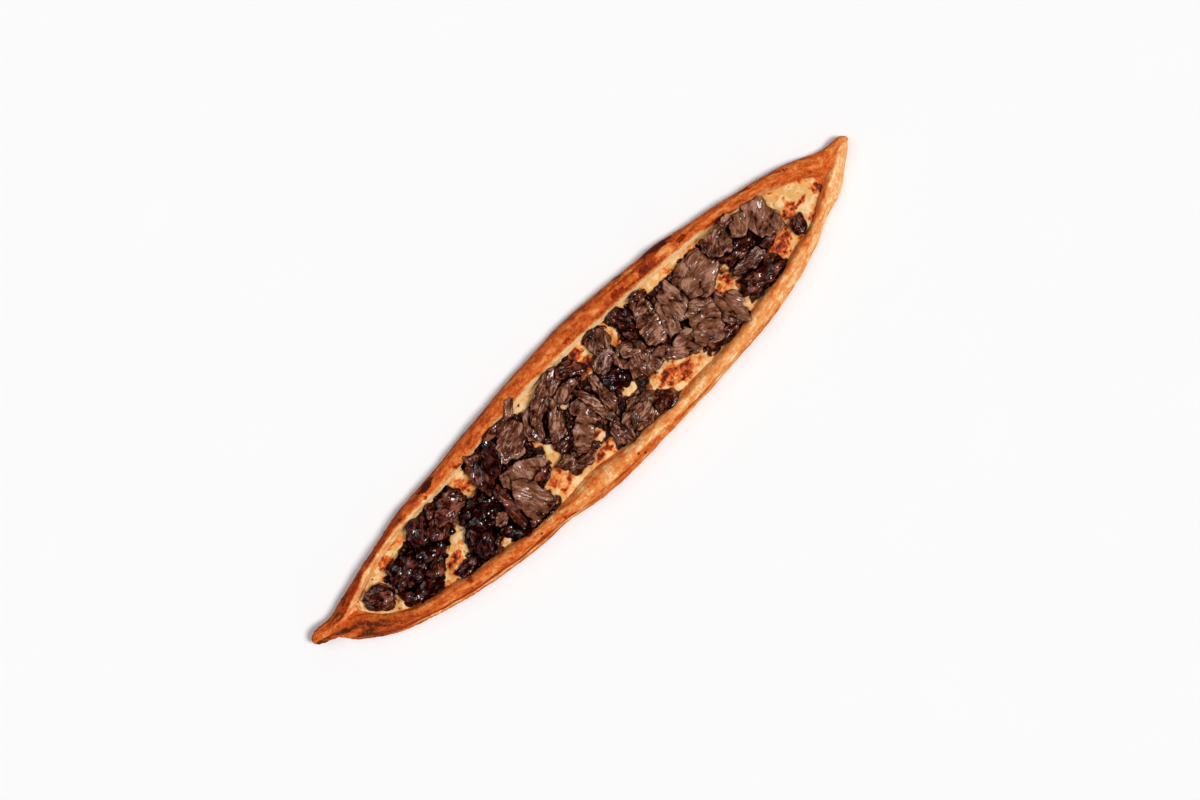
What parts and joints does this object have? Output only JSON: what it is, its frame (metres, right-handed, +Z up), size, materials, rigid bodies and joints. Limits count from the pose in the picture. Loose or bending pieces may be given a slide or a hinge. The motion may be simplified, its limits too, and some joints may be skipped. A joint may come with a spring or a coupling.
{
  "type": "turkish pide",
  "caption": "Long boat-shaped flatbread with rolled rims and pinched tips, a toasted cheese layer and roast meat pieces heaped along its trough.",
  "frame": {"origin": "centre of the bounding box on the flat underside", "axes": "+X along the boat towards the drawn-out right tip, +Y across it towards the rim with the higher crown, +Z up"},
  "size_m": [0.554, 0.1187, 0.0259],
  "materials": {
    "crust": "matte baked dough, browned on the crown and pale on the flanks",
    "cheese": "satin melted cheese with toasted spots",
    "meat_glazed": "glossy dark glazed roast meat",
    "meat_sliced": "satin sliced roast meat with grain lines",
    "meat_stripped": "satin shredded roast meat"
  },
  "bodies": {
    "root": {"dough_crust": "crust", "cheese_layer": "cheese", "meat_chunk_01": "meat_glazed", "meat_chunk_02": "meat_glazed", "meat_chunk_03": "meat_glazed", "meat_chunk_04": "meat_glazed", "meat_chunk_05": "meat_glazed", "meat_chunk_06": "meat_glazed", "meat_chunk_07": "meat_glazed", "meat_chunk_08": "meat_glazed", "meat_chunk_09": "meat_glazed", "meat_chunk_10": "meat_glazed", "meat_chunk_11": "meat_glazed", "meat_chunk_12": "meat_glazed", "meat_slice_13": "meat_sliced", "meat_chunk_14": "meat_glazed", "meat_strip_15": "meat_stripped", "meat_slice_16": "meat_sliced", "meat_slice_17": "meat_sliced", "meat_strip_18": "meat_stripped", "meat_slice_19": "meat_sliced", "meat_slice_20": "meat_sliced", "meat_slice_21": "meat_sliced", "meat_chunk_22": "meat_glazed", "meat_slice_23": "meat_sliced", "meat_chunk_24": "meat_glazed", "meat_slice_25": "meat_sliced", "meat_strip_26": "meat_stripped", "meat_strip_27": "meat_stripped", "meat_strip_28": "meat_stripped", "meat_slice_29": "meat_sliced", "meat_slice_30": "meat_sliced", "meat_chunk_31": "meat_glazed", "meat_chunk_32": "meat_glazed", "meat_strip_33": "meat_stripped", "meat_chunk_34": "meat_glazed", "meat_strip_35": "meat_stripped", "meat_chunk_36": "meat_glazed", "meat_slice_37": "meat_sliced", "meat_slice_38": "meat_sliced", "meat_chunk_39": "meat_glazed", "meat_slice_40": "meat_sliced", "meat_slice_41": "meat_sliced", "meat_slice_42": "meat_sliced", "meat_chunk_43": "meat_glazed", "meat_strip_44": "meat_stripped", "meat_slice_45": "meat_sliced", "meat_slice_46": "meat_sliced", "meat_slice_47": "meat_sliced", "meat_chunk_48": "meat_glazed", "meat_slice_49": "meat_sliced", "meat_slice_50": "meat_sliced", "meat_slice_51": "meat_sliced", "meat_slice_52": "meat_sliced", "meat_chunk_53": "meat_glazed", "meat_chunk_54": "meat_glazed", "meat_slice_55": "meat_sliced", "meat_chunk_56": "meat_glazed", "meat_slice_57": "meat_sliced", "meat_chunk_58": "meat_glazed"}
  },
  "joints": []
}
